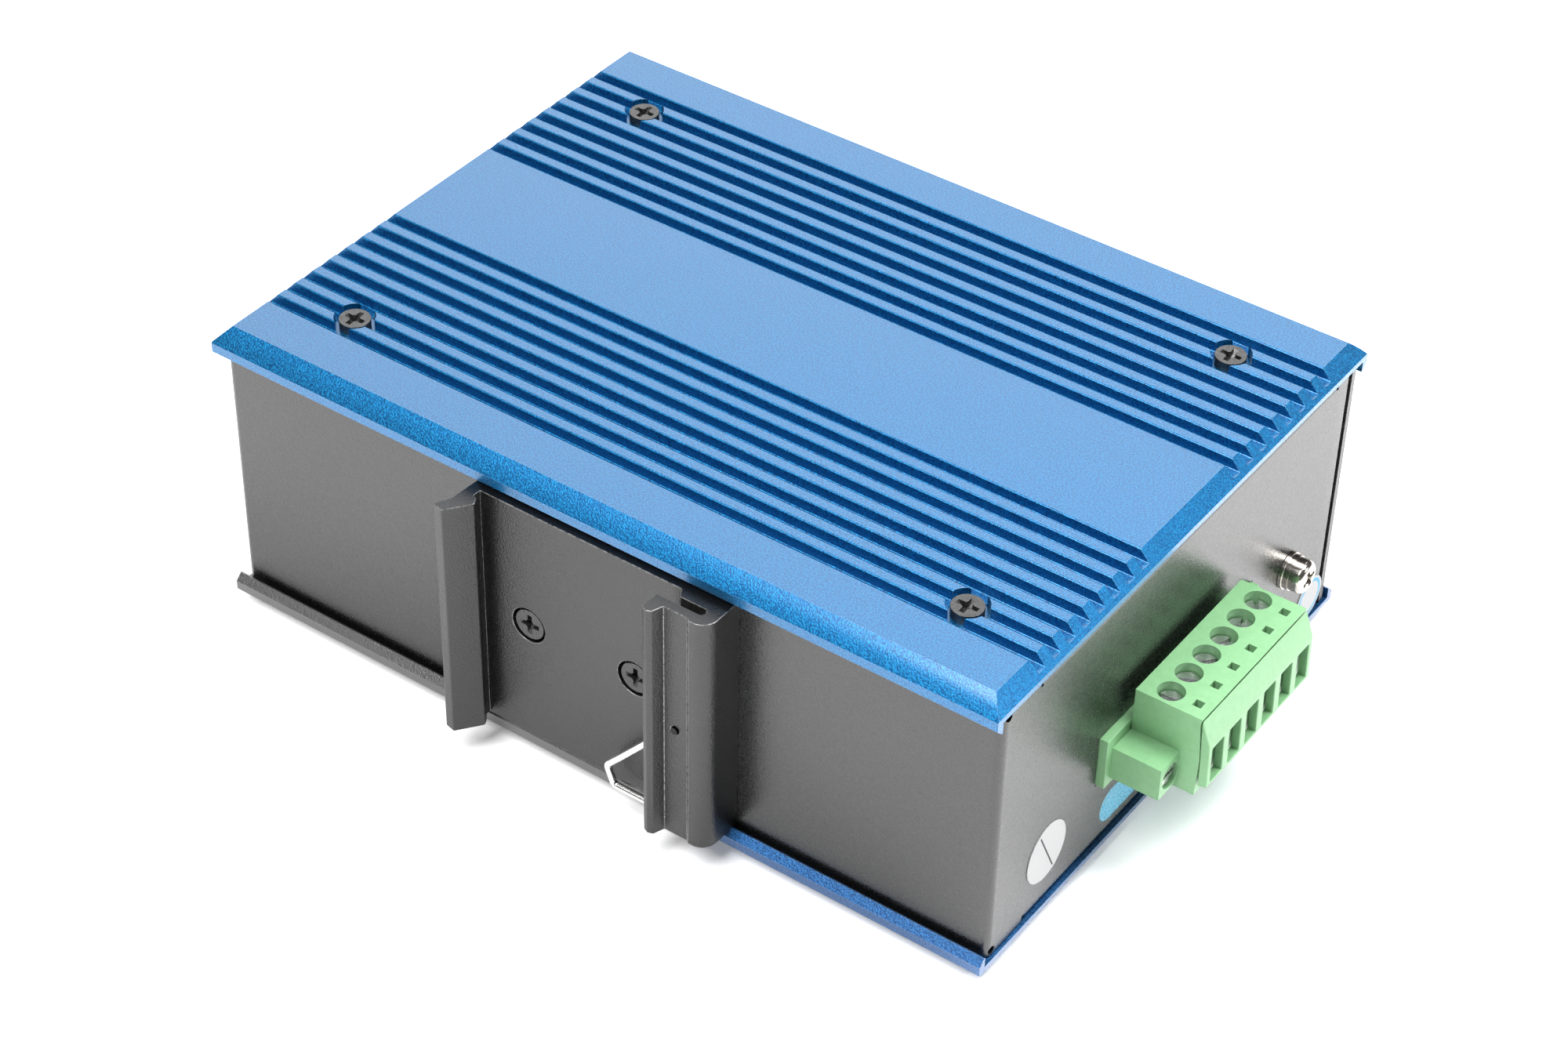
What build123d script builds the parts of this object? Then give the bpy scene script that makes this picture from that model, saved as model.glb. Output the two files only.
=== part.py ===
"""Industrial ethernet switch for a 35 mm rail, lying on its bottom cover.

Millimetres, +Z up. The origin is the centre of the bottom cover's outer face. +X points to the
end wall with the power terminal, +Y to the port panel and -Y to the rear wall with the rail clip.
"""

from build123d import *
import math
import os

# Overall sizes
cover_length = 144.0
cover_width = 105.0
overall_height = 55.0

# Extruded covers
plate = 3.5
side_bevel_run = 2.7
side_bevel_drop = 2.75
side_bevel_swell = 0.12
end_bevel_run = 2.3
end_bevel_drop = 2.55
lip_face = 1.6
lip_slant = 1.1
lip_thickness = 1.35
groove_count = 8
groove_pitch = 3.95
groove_width = 1.9
groove_depth = 1.85
groove_edge_radius = 0.32
groove_floor_radius = 0.3
first_groove = 13.0
screw_groove = 6
cover_screw_inset = 15.5
counterbore = 6.6

# Folded case shell
sheet = 1.2
bend_inside = 0.3
side_inset = 2.3
end_inset = 0.5
edge_gap = 0.2
flange_width = 19.5
flange_rear_gap = 10.2
flange_front_gap = 6.2
front_flange = 8.0
relief = 0.6
corner_relief_radius = 0.7

# M3 hardware
m3 = 2.9
m3_hole = 3.4
thread_bore = 3.0
m3_length = 6.0
head_diameter = 5.0
head_height = 1.55
head_recess = 0.4
cross_width = 0.8
cross_span = 3.5
cross_middle = 2.3
cross_depth = 1.1
nut_body = 6.2
nut_spigot = 4.2
nut_height = 3.0
fit = 0.05

# Rail clip, measured outward from the rear wall
clip_end_gap = 0.05
clip_base = 2.85
rail_width = 35.0
spring_travel = 3.0
left_pocket = -18.4
hook_height = 9.8
claw_left = 16.4
claw_height = 9.7
claw_root = 19.0
bow_left = 23.6
bow_step = 0.4
bow_corner = 2.6
clip_right = 27.0
tip_radius = 0.35
clip_screw_spacing = 20.0
clip_counterbore = 6.2
clip_head_diameter = 5.3
clip_head_recess = 0.25
slot_width = 1.45
slot_offset = 4.4
slot_end = 24.65
web_front = 7.5
wire = 1.15
wire_anchor_x = 21.0
wire_anchor_drop = 0.8
wire_tip_x = 6.4
wire_end = 0.3

# Power terminal
poles = 6
pole_pitch = 5.08
terminal_y = 0.5
header_height = 9.3
header_wall = 1.0
header_depth = 11.6
header_protrusion = 1.4
header_flange = 6.3
plug_clearance = 0.2
plug_nose = 6.2
plug_depth = 11.3
plug_height = 14.9
plug_bottom_offset = 0.1
well_diameter = 4.3
well_depth = 1.6
well_x = 4.4
test_hole = 1.45
test_hole_x = 9.0
cap_depth = 1.9
cap_seam = 0.05
entry_width = 3.4
entry_height = 6.5
flange_block_depth = 8.3
flange_block_height = 5.9
flange_screw_recess = 0.5
pin = 1.0

# Circuit board and network sockets
standoff_height = 11.8
board = 1.6
board_end_gap = 1.0
board_left_gap = 8.3
board_rear_gap = 6.2
board_front_gap = 3.2
standoff_end_inset = 32.0
standoff_side_inset = 13.5
standoff_size = 5.5
standoff_stud = 1.0
port_columns = 4
port_pitch = 13.97
socket_height = 26.0
socket_depth = 22.0
socket_protrusion = 0.4
shield = 0.3
port_width = 11.9
port_height = 6.9
port_depth = 14.0
led_hole = 2.2
led_inset = 25.5
led_pitch_x = 5.0
led_pitch_z = 5.0

# Earth screw and stickers on the terminal end wall
earth_inset = 15.2
earth_z = 20.3
flat_washer_diameter = 6.4
flat_washer = 0.7
spring_washer_diameter = 6.0
spring_washer = 0.9
earth_head_diameter = 5.7
earth_head_height = 2.4
sticker = 0.12
inspection_sticker_radius = 5.2
inspection_sticker_inset = 15.2
inspection_sticker_z = 13.8
seal_sticker_radius = 4.0
seal_sticker_inset = 5.4
seal_sticker_z = 7.7

# Parts on the board, by their distance from its edges
power_inset = 23.3
power_pitch = 11.0
capacitor_radius = 5.0
capacitor_height = 16.0
inductor_size = 12.0
inductor_height = 7.0
fuse_inset = 15.8
fuse_radius = 2.6
fuse_length = 16.0
fuse_front_gap = 17.0
surge_front_gap = 25.0
transformer_x = -2.0
transformer_rear_gap = 13.0
rectifier_left_gap = 28.0
rectifier_pitch = 8.0
rectifier_rear_gap = 11.0
magnetics_gap = 1.6
magnetics_depth = 11.5

# Places that follow from the sizes above
end_x = cover_length / 2 - end_inset
rear_y = -(cover_width / 2 - side_inset)
panel_y = cover_width / 2 - side_inset
under_top = overall_height - plate
lip_top = side_bevel_drop + lip_face + lip_slant
bend_outside = bend_inside + sheet
inner_x = end_x - sheet
inner_rear = rear_y + sheet
flange_rear_end = rear_y + flange_rear_gap
flange_front_end = panel_y - flange_front_gap
cover_screw_x = cover_length / 2 - cover_screw_inset
clip_length = overall_height - 2 * (lip_top + clip_end_gap)
screw_y = first_groove + screw_groove * groove_pitch
board_top = plate + standoff_height + board
board_right = inner_x - board_end_gap
board_left = -(inner_x - board_left_gap)
board_rear = rear_y + board_rear_gap
board_front = panel_y - board_front_gap
standoff_x = cover_length / 2 - standoff_end_inset
standoff_y = cover_width / 2 - standoff_side_inset
led_x = end_x - led_inset
earth_y = panel_y - earth_inset
inspection_sticker_y = rear_y + inspection_sticker_inset
seal_sticker_y = panel_y - seal_sticker_inset
middle_z = overall_height / 2
header_face = end_x + header_protrusion
header_back = header_face - header_depth
header_z = board_top
pole_length = poles * pole_pitch + 0.4
pole_ys = [terminal_y + (k - (poles - 1) / 2) * pole_pitch for k in range(poles)]
flange_ys = [terminal_y - (poles + 1) / 2 * pole_pitch, terminal_y + (poles + 1) / 2 * pole_pitch]
plug_bottom = header_z + plug_bottom_offset
plug_top = plug_bottom + plug_height
pin_z = header_z + header_height / 2
socket_width = port_columns * port_pitch + 1.6
socket_front = panel_y + socket_protrusion
socket_back = socket_front - socket_depth


def block(x0, x1, y0, y1, z0, z1):
    """Box between two corners."""
    size = Box(x1 - x0, y1 - y0, z1 - z0)
    return Pos((x0 + x1) / 2, (y0 + y1) / 2, (z0 + z1) / 2) * size


def rod_x(radius, x0, x1, y, z):
    """Cylinder along X."""
    return Pos((x0 + x1) / 2, y, z) * Rot(0, 90, 0) * Cylinder(radius, x1 - x0)


def rod_y(radius, x, y0, y1, z):
    """Cylinder along Y."""
    return Pos(x, (y0 + y1) / 2, z) * Rot(90, 0, 0) * Cylinder(radius, y1 - y0)


def rod_z(radius, x, y, z0, z1):
    """Cylinder along Z."""
    return Pos(x, y, (z0 + z1) / 2) * Cylinder(radius, z1 - z0)


def prism_x(points, x0, x1):
    """Extrudes a (y, z) outline along X."""
    face = make_face(Polyline([(x0, y, z) for y, z in points], close=True))
    return extrude(face, amount=x1 - x0, dir=(1, 0, 0))


def prism_y(points, y0, y1):
    """Extrudes an (x, z) outline along Y."""
    face = make_face(Polyline([(x, y0, z) for x, z in points], close=True))
    return extrude(face, amount=y1 - y0, dir=(0, 1, 0))


def save(name, *solids):
    """Writes one node, a single solid or a group of separate ones."""
    shapes = []
    for item in solids:
        shapes.extend(item.solids())
    node = shapes[0] if len(shapes) == 1 else Compound(children=shapes)
    node.label = name
    export_step(node, f"parts/{name}.step")


def four_corners(x, y):
    """The four places at plus and minus x and y."""
    return [(i * x, j * y) for i in (-1, 1) for j in (-1, 1)]


def rounded_corner(x, centre, radius, turn_y, turn_z):
    """Quarter arc about a (y, z) centre, from below or above it to its side."""
    y, z = centre
    middle = radius * math.sqrt(0.5)
    first = (x, y, z + turn_z * radius)
    last = (x, y + turn_y * radius, z)
    return ThreePointArc(first, (x, y + turn_y * middle, z + turn_z * middle), last)


def groove_edges(x, place):
    """Outline of one cooling groove with its mouth at z = 0: rounded edges and floor corners."""
    wall = groove_width / 2
    mouth = wall + groove_edge_radius
    floor = wall - groove_floor_radius
    turn = groove_depth - groove_floor_radius
    edges = [Line((x, place - floor, groove_depth), (x, place + floor, groove_depth))]
    for side in (-1, 1):
        shoulder = (place + side * mouth, groove_edge_radius)
        corner = (place + side * floor, turn)
        edges.append(rounded_corner(x, shoulder, groove_edge_radius, -side, -1))
        edges.append(Line((x, place + side * wall, groove_edge_radius), (x, place + side * wall, turn)))
        edges.append(rounded_corner(x, corner, groove_floor_radius, side, 1))
    return edges


def cover_section(x):
    """Cross-section of the bottom cover: slightly swelled side bevels, lips and rounded grooves."""
    half = cover_width / 2
    foot = half - side_bevel_run
    slope = math.hypot(side_bevel_run, side_bevel_drop)
    swell_y = half - side_bevel_run / 2 + side_bevel_swell * side_bevel_drop / slope
    swell_z = side_bevel_drop / 2 - side_bevel_swell * side_bevel_run / slope
    lip = [
        (x, half, side_bevel_drop),
        (x, half, side_bevel_drop + lip_face),
        (x, half - lip_slant, lip_top),
        (x, half - lip_thickness, lip_top),
        (x, half - lip_thickness, plate),
    ]
    edges = list(Polyline(lip + [(x, -y, z) for _, y, z in reversed(lip)]).edges())
    for side in (-1, 1):
        swell = (x, side * swell_y, swell_z)
        edges.append(ThreePointArc((x, side * foot, 0), swell, (x, side * half, side_bevel_drop)))
    steps = [first_groove + k * groove_pitch for k in range(groove_count)]
    reach = groove_width / 2 + groove_edge_radius
    start = -foot
    for place in sorted(steps + [-step for step in steps]):
        edges.append(Line((x, start, 0), (x, place - reach, 0)))
        edges.extend(groove_edges(x, place))
        start = place + reach
    edges.append(Line((x, start, 0), (x, foot, 0)))
    return make_face(edges)


def bottom_cover():
    """Length of the extrusion with milled end bevels and recesses for its four screws."""
    half = cover_width / 2
    end = cover_length / 2
    body = extrude(cover_section(-end), amount=cover_length, dir=(1, 0, 0))
    length_profile = [
        (-end + end_bevel_run, 0),
        (end - end_bevel_run, 0),
        (end, end_bevel_drop),
        (end, lip_top),
        (-end, lip_top),
        (-end, end_bevel_drop),
    ]
    body = body & prism_y(length_profile, -half, half)
    floor = head_recess + head_height
    for x, y in four_corners(cover_screw_x, screw_y):
        body -= rod_z(counterbore / 2, x, y, 0, floor)
        body -= rod_z(m3_hole / 2, x, y, floor, plate)
    return body


def top_cover(lower):
    """The same extrusion turned over."""
    return mirror(lower, about=Plane.XY.offset(middle_z))


def drilled_bottom_cover(lower):
    """The bottom cover also has blind holes inside for the board's standoffs."""
    for x, y in four_corners(standoff_x, standoff_y):
        lower -= rod_z(m3_hole / 2, x, y, plate - standoff_stud, plate)
    return lower


def cross_recess(depth):
    """Tapered cross with a widened middle, its mouth at z = 0, for a cross-slotted head facing +Z."""
    floor_span = cross_span * 0.4
    arm = [
        (-cross_span / 2, 0),
        (cross_span / 2, 0),
        (floor_span / 2, -depth),
        (-floor_span / 2, -depth),
    ]
    one = prism_y(arm, -cross_width / 2, cross_width / 2)
    mouth = RegularPolygon(cross_middle / 2, 4)
    floor = Pos(0, 0, -depth) * RegularPolygon(floor_span / 2, 4)
    return one + Rot(0, 0, 90) * one + loft([mouth, floor])


def flat_screw(diameter, height, length):
    """Black cheese-head screw facing +Z, its head's top at z = 0."""
    head = rod_z(diameter / 2, 0, 0, -height, 0)
    shank = rod_z(m3 / 2, 0, 0, -height - length, -height)
    return head + shank - cross_recess(cross_depth)


def clinch_nut():
    """Pressed hexagonal nut: its body below z = 0, its spigot in a sheet that lies on z = 0."""
    body = extrude(RegularPolygon(nut_body / 2, 6, major_radius=False), -nut_height)
    spigot = rod_z(nut_spigot / 2 - fit, 0, 0, 0, sheet)
    return body + spigot - rod_z(thread_bore / 2, 0, 0, -nut_height, sheet)


def case_shell():
    """One sheet: rear wall, two end walls, and their flanges folded inward under the covers."""
    low = plate + edge_gap
    high = under_top - edge_gap
    front = panel_y - sheet
    centre_y = (front + rear_y) / 2
    depth = front - rear_y
    outer = extrude(
        Pos(0, centre_y, low) * RectangleRounded(2 * end_x, depth, bend_outside), high - low
    )
    inner = extrude(
        Pos(0, centre_y, low) * RectangleRounded(2 * inner_x, depth - 2 * sheet, bend_inside),
        high - low,
    )
    mouth = block(-end_x + front_flange, end_x - front_flange, front - 2 * sheet, front, low, high)
    shell = outer - inner - mouth

    # The flanged stretch of both end walls is a channel section along Y
    height = under_top - plate
    section = Plane.XZ.offset(-flange_rear_end) * Pos(0, middle_z)
    ring = section * RectangleRounded(2 * end_x, height, bend_outside)
    hole = section * RectangleRounded(2 * inner_x, height - 2 * sheet, bend_inside)
    reach = end_x - flange_width
    stretch = flange_front_end - flange_rear_end
    channel = extrude(ring, -stretch) - extrude(hole, -stretch)
    channel -= block(-reach, reach, flange_rear_end, flange_front_end, plate, under_top)
    for side in (-1, 1):
        xs = sorted((side * inner_x, side * end_x))
        shell -= block(*xs, flange_rear_end, flange_front_end, low, high)
    shell += channel

    # Slits part each flange from the plain wall beside it
    for y0 in (flange_rear_end - relief, flange_front_end):
        y1 = y0 + relief
        for z0, z1 in ((low, plate + bend_outside), (under_top - bend_outside, high)):
            shell -= block(-end_x, end_x, y0, y1, z0, z1)
    relief_z = plate + sheet
    for z in (relief_z, overall_height - relief_z):
        shell -= rod_x(corner_relief_radius, -end_x, end_x, rear_y + bend_outside, z)

    # Holes for the cover nuts, the clip's nuts, the terminal and the earth nut
    for x, y in four_corners(cover_screw_x, screw_y):
        shell -= rod_z(nut_spigot / 2, x, y, plate, plate + sheet)
        shell -= rod_z(nut_spigot / 2, x, y, under_top - sheet, under_top)
    for x in (-clip_screw_spacing / 2, clip_screw_spacing / 2):
        shell -= rod_y(nut_spigot / 2, x, rear_y, inner_rear, middle_z)
    half = header_half_length() + plug_clearance
    shell -= block(
        inner_x, end_x, terminal_y - half, terminal_y + half,
        header_z - plug_clearance, header_z + header_height + plug_clearance,
    )
    shell -= rod_x(nut_spigot / 2, inner_x, end_x, earth_y, earth_z)
    return shell


def header_half_length():
    """Half the header's length along the row of poles, with its flanges."""
    return pole_length / 2 + header_flange + 0.46


def port_panel():
    """Flat sheet welded on the shell's front flanges, with windows for the sockets and lights."""
    low = plate + edge_gap
    high = under_top - edge_gap
    panel = block(-end_x, end_x, panel_y - sheet, panel_y, low, high)
    half = socket_width / 2 + plug_clearance
    panel -= block(
        -half, half, panel_y - sheet, panel_y,
        board_top - plug_clearance, board_top + socket_height + plug_clearance,
    )
    for x, z in led_places():
        panel -= rod_y(led_hole / 2, x, panel_y - sheet, panel_y, z)
    return panel


def led_places():
    """Three columns and two rows of status lights beside the sockets."""
    base = board_top + 6.0
    return [(led_x + i * led_pitch_x, base + j * led_pitch_z) for i in range(3) for j in range(2)]


def hook_tips():
    """Rounded corners of the fixed hook, as (x, distance out from the rear wall)."""
    return [
        (left_pocket - 3.7, hook_height - 0.5),
        (left_pocket - 1.6, hook_height),
        (left_pocket + 1.4, hook_height - 4.0),
    ]


def claw_tips():
    """Rounded corners of the claw on the bowed hook, as (x, distance out from the rear wall)."""
    return [
        (claw_left, claw_height - 0.45),
        (claw_left + 1.0, claw_height),
        (claw_root - 0.7, claw_height - 0.3),
    ]


def clip_outline():
    """Outline of the rail clip's extrusion, as (x, distance out from the rear wall)."""
    step = left_pocket + rail_width + spring_travel
    slot_top = slot_offset + slot_width
    left = [
        (left_pocket - 1.8, 0),
        (left_pocket - 2.3, hook_height - 2.9),
        *hook_tips(),
        (left_pocket + 0.7, clip_base + 1.65),
        (left_pocket, clip_base + 1.45),
        (left_pocket, clip_base),
    ]
    arm = [
        (step - 0.8, clip_base),
        (step, slot_offset),
        (slot_end, slot_offset),
        (slot_end, slot_top),
    ]
    claw = [
        (claw_left + 0.2, slot_top),
        *claw_tips(),
        (claw_root, web_front),
    ]
    bow = [
        (bow_left - bow_step, web_front),
        (bow_left, web_front + bow_step),
        (clip_right, web_front + bow_step),
        (clip_right, 0),
    ]
    return left + arm + claw + bow


def upright_edges(body, places):
    """The body's vertical edges that stand at the given outline places."""
    found = []
    for edge in body.edges().filter_by(Axis.Z):
        middle = edge.center()
        if any(math.hypot(middle.X - x, rear_y - middle.Y - out) < 0.01 for x, out in places):
            found.append(edge)
    return found


def din_clip():
    """Extruded aluminium rail clip: fixed hook, base plate and a bowed hook with a slot in it."""
    bottom = middle_z - clip_length / 2
    face = make_face(Polyline([(x, rear_y - out, bottom) for x, out in clip_outline()], close=True))
    body = extrude(face, amount=clip_length, dir=(0, 0, 1))
    bow_radius = min(bow_corner, clip_right - bow_left - 0.2)
    body = fillet(upright_edges(body, [(clip_right, web_front + bow_step)]), radius=bow_radius)
    slot_ends = [(slot_end, slot_offset), (slot_end, slot_offset + slot_width)]
    body = fillet(upright_edges(body, slot_ends), radius=slot_width / 2 - 0.02)
    body = fillet(upright_edges(body, hook_tips() + claw_tips()), radius=tip_radius)
    face_y = rear_y - clip_base
    floor = face_y + head_height + clip_head_recess
    for x in (-clip_screw_spacing / 2, clip_screw_spacing / 2):
        body -= rod_y(clip_counterbore / 2, x, face_y, floor, middle_z)
        body -= rod_y(m3_hole / 2, x, floor, rear_y, middle_z)
    hole_front = rear_y - web_front
    hole_back = rear_y - slot_offset - slot_width
    hole_z = middle_z - wire_anchor_drop
    body -= rod_y(wire / 2 + 0.15, wire_anchor_x, hole_front - 1, hole_back + 0.5, hole_z)
    return body


def din_spring():
    """Spring wire: its end sits in the web's hole, its bow stands in the rail's space."""
    mid = rear_y - slot_offset - slot_width / 2
    bottom = middle_z - clip_length / 2
    low = bottom + 1.0
    route = [
        (wire_anchor_x, rear_y - web_front - wire_end, middle_z - wire_anchor_drop),
        (wire_anchor_x, mid, middle_z - wire_anchor_drop),
        (wire_tip_x, mid, low + 3.4),
        (wire_tip_x + 1.3, mid, low),
        (slot_end - 1.5, mid, low),
    ]
    path = FilletPolyline(route, radius=1.0)
    section = Plane(origin=route[0], z_dir=(0, 1, 0)) * Circle(wire / 2)
    return sweep(section, path=path)


def plug_profile():
    """Side view of the plug body, as (x, z)."""
    back = header_face
    front = back + plug_depth
    return [
        (back, plug_bottom),
        (front, plug_bottom),
        (front + 0.25, plug_bottom + 7.0),
        (front - 0.25, plug_top - 1.0),
        (front, plug_top),
        (back, plug_top),
    ]


def flange_block(y_side):
    """Y range of one of the plug's screw flanges."""
    inner = terminal_y + y_side * pole_length / 2
    outer = inner + y_side * 5.3
    return sorted((inner, outer))


def entry_bottom():
    """Height of the lower edge of the wire entries."""
    return plug_bottom + 2.9


def terminal_plug_body():
    """Green moulding with screw wells, test holes, clamp pockets and a nose for the header."""
    y0 = terminal_y - pole_length / 2
    y1 = terminal_y + pole_length / 2
    body = prism_y(plug_profile(), y0, y1)
    nose_z0 = header_z + header_wall + plug_clearance
    nose_z1 = header_z + header_height - header_wall - plug_clearance
    body += block(header_face - plug_nose, header_face, y0, y1, nose_z0, nose_z1)
    block_z0 = header_z + 1.3
    for side in (-1, 1):
        ys = flange_block(side)
        body += block(
            header_face, header_face + flange_block_depth, *ys, block_z0, block_z0 + flange_block_height
        )
    front = header_face + plug_depth + 1
    for y in pole_ys:
        body -= rod_z(well_diameter / 2, header_face + well_x, y, cage_z()[1], plug_top)
        body -= block(*cage_x(), y - 2.15, y + 2.15, *cage_z())
        body -= block(
            cage_x()[1], front, y - entry_width / 2, y + entry_width / 2,
            entry_bottom(), entry_bottom() + entry_height,
        )
        hole = header_face + test_hole_x
        body -= block(
            hole - test_hole / 2, hole + test_hole / 2, y - test_hole / 2, y + test_hole / 2,
            entry_bottom() + entry_height - 0.5, plug_top,
        )
        body -= block(header_face - plug_nose, cage_x()[0], y - 1.3, y + 1.3, pin_z - 1.3, pin_z + 1.3)
    for y in flange_ys:
        end = header_face + flange_block_depth
        body -= rod_x(1.5, header_face, end, y, pin_z - 0.5)
        body -= rod_x(2.2, end - flange_screw_recess - 1.7, end, y, pin_z - 0.5)
    return body


def cage_x():
    """X range of the pockets that hold the wire clamps."""
    return header_face + well_x - 2.3, header_face + well_x + 2.5


def cage_z():
    """Height range of the pockets that hold the wire clamps."""
    return plug_bottom + 1.6, plug_top - 5.0


def terminal_plug_cap():
    """Front moulding of the plug: sloped upper face and six wire entries."""
    front = header_face + plug_depth
    profile = [
        (front + 0.4, plug_bottom + 2.0),
        (front + cap_depth, plug_bottom + 2.4),
        (front + cap_depth - 0.25, plug_top - 4.6),
        (front + cap_seam, plug_top - 0.25),
        (front + cap_seam - 0.1, plug_top - 1.0),
        (front + cap_seam + 0.25, plug_bottom + 7.0),
    ]
    cap = prism_y(profile, terminal_y - pole_length / 2, terminal_y + pole_length / 2)
    for y in pole_ys:
        cap -= block(
            front - 1, front + cap_depth + 1, y - entry_width / 2, y + entry_width / 2,
            entry_bottom(), entry_bottom() + entry_height,
        )
    return cap


def clamp_screw():
    """Slotted clamp screw, its head's top at z = 0."""
    head = rod_z(well_diameter / 2 - 0.2, 0, 0, -1.7, 0)
    shank = rod_z(m3 / 2, 0, 0, -6.8, -1.7)
    return head + shank - block(-3, 3, -0.35, 0.35, -0.8, 0)


def clamp_cage(x, y):
    """Wire clamp: a plated box, open toward the wire entry, with a threaded roof."""
    x0, x1 = cage_x()
    z0, z1 = cage_z()
    x1 -= 0.2
    x0 += 0.1
    cage = block(x0, x1, y - 2.05, y + 2.05, z0, z1 - 0.1)
    cage -= block(x0 + 0.5, x1, y - 1.5, y + 1.5, z0 + 0.9, z1 - 1.7)
    cage -= block(x0, x0 + 0.5, y - 1.25, y + 1.25, pin_z - 1.25, pin_z + 1.25)
    return cage - rod_z(thread_bore / 2, x, y, z0 + 2.5, z1)


def terminal_contact(y):
    """Fork contact: two leaves that grip a header pin, joined inside the clamp."""
    tip = header_face - plug_nose + 0.5
    root = cage_x()[0] + 1.0
    gap = pin / 2 + 0.02
    leaf = 0.4
    fork = block(tip, root, y - 1.0, y + 1.0, pin_z - gap - leaf, pin_z + gap + leaf)
    return fork - block(tip, root - 0.6, y - 1.0, y + 1.0, pin_z - gap, pin_z + gap)


def flange_screw(y):
    """Slotted screw that holds one end of the plug to the header."""
    end = header_face + flange_block_depth
    z = pin_z - 0.5
    top = end - flange_screw_recess
    head = rod_x(1.95, top - 1.7, top, y, z)
    shank = rod_x(1.2, header_face - 4.0, top - 1.7, y, z)
    slot = block(top - 0.7, top, y - 3, y + 3, z - 0.3, z + 0.3)
    return head + shank - slot


def terminal_header():
    """Green header on the board: an open box with a threaded flange at each end."""
    half = header_half_length()
    body = block(
        header_back, header_face, terminal_y - half, terminal_y + half, header_z, header_z + header_height
    )
    inner = pole_length / 2 + plug_clearance
    body -= block(
        header_back + header_wall, header_face, terminal_y - inner, terminal_y + inner,
        header_z + header_wall, header_z + header_height - header_wall,
    )
    for y in pole_ys:
        h = pin / 2 + fit
        body -= block(header_back, header_back + header_wall, y - h, y + h, pin_z - h, pin_z + h)
    for y in flange_ys:
        body -= rod_x(2.1, header_face - 6.0, header_face, y, pin_z - 0.5)
    return body


def header_pin(y):
    """Bent square pin, from the header's box down through the board."""
    h = pin / 2
    foot = header_back - 1.5
    flat = block(foot - h, header_back + 7.6, y - h, y + h, pin_z - h, pin_z + h)
    leg = block(foot - h, foot + h, y - h, y + h, board_top - board - 1.4, pin_z)
    return flat + leg


def flange_insert(y):
    """Brass insert for the plug's flange screw."""
    z = pin_z - 0.5
    outer = rod_x(2.1 - fit, header_face - 6.0, header_face - 0.2, y, z)
    return outer - rod_x(1.25, header_face - 6.0, header_face, y, z)


def earth_screw():
    """Plated pan-head screw on the terminal end wall."""
    seat = end_x + flat_washer + spring_washer
    head = rod_x(earth_head_diameter / 2, seat, seat + earth_head_height, earth_y, earth_z)
    head = fillet(head.edges().group_by(Axis.X)[-1], radius=1.1)
    shank = rod_x(m3 / 2, seat - m3_length - 1, seat, earth_y, earth_z)
    turn = Pos(seat + earth_head_height, earth_y, earth_z) * Rot(0, 90, 0) * Rot(0, 0, 20)
    return head + shank - turn * cross_recess(1.5)


def earth_flat_washer():
    """Plain washer against the wall."""
    disc = rod_x(flat_washer_diameter / 2, end_x, end_x + flat_washer, earth_y, earth_z)
    return disc - rod_x(m3_hole / 2, end_x, end_x + flat_washer, earth_y, earth_z)


def earth_spring_washer():
    """Split spring washer, pressed flat, with its slanted cut at the lower side."""
    x0 = end_x + flat_washer
    ring = rod_x(spring_washer_diameter / 2, x0, x0 + spring_washer, earth_y, earth_z)
    ring -= rod_x(m3_hole / 2 - 0.1, x0, x0 + spring_washer, earth_y, earth_z)
    cut = block(-1, 1, -0.25, 0.25, -4, 0)
    return ring - Pos(x0 + spring_washer / 2, earth_y, earth_z) * Rot(0, 0, 35) * cut


def disc_sticker(radius, y, z):
    """Round paper sticker on the terminal end wall."""
    return rod_x(radius, end_x, end_x + sticker, y, z)


def main_board():
    """Circuit board with holes for its screws and the header's pins."""
    bottom = board_top - board
    body = block(board_left, board_right, board_rear, board_front, bottom, board_top)
    for x, y in four_corners(standoff_x, standoff_y):
        body -= rod_z(m3_hole / 2, x, y, bottom, board_top)
    for y in pole_ys:
        body -= rod_z(0.8, header_back - 1.5, y, bottom, board_top)
    return body


def standoff(x, y):
    """Hexagonal standoff with a stud pressed into the bottom cover."""
    base = Pos(x, y, plate) * RegularPolygon(standoff_size / 2, 6, major_radius=False)
    body = extrude(base, standoff_height)
    body += rod_z(m3_hole / 2 - fit, x, y, plate - standoff_stud, plate)
    return body - rod_z(thread_bore / 2, x, y, plate + 4, plate + standoff_height)


def board_screw():
    """Pan-head screw that holds the board, its seat at z = 0."""
    head = chamfer(rod_z(2.8, 0, 0, 0, 2.0).edges().group_by(Axis.Z)[-1], length=0.5)
    shank = rod_z(m3 / 2, 0, 0, -m3_length, 0)
    return head + shank - Pos(0, 0, 2.0) * cross_recess(cross_depth)


def insulating_sheet():
    """Thin film between the bottom cover and the board, cut out around the standoffs."""
    reach = end_x - flange_width - 1.5
    film = block(-reach, reach, board_rear, board_front - 2, plate, plate + 0.3)
    half = standoff_size / 2 + 0.8
    for x, y in four_corners(standoff_x, standoff_y):
        film -= block(x - half, x + half, y - half, y + half, plate, plate + 0.3)
    return film


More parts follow.
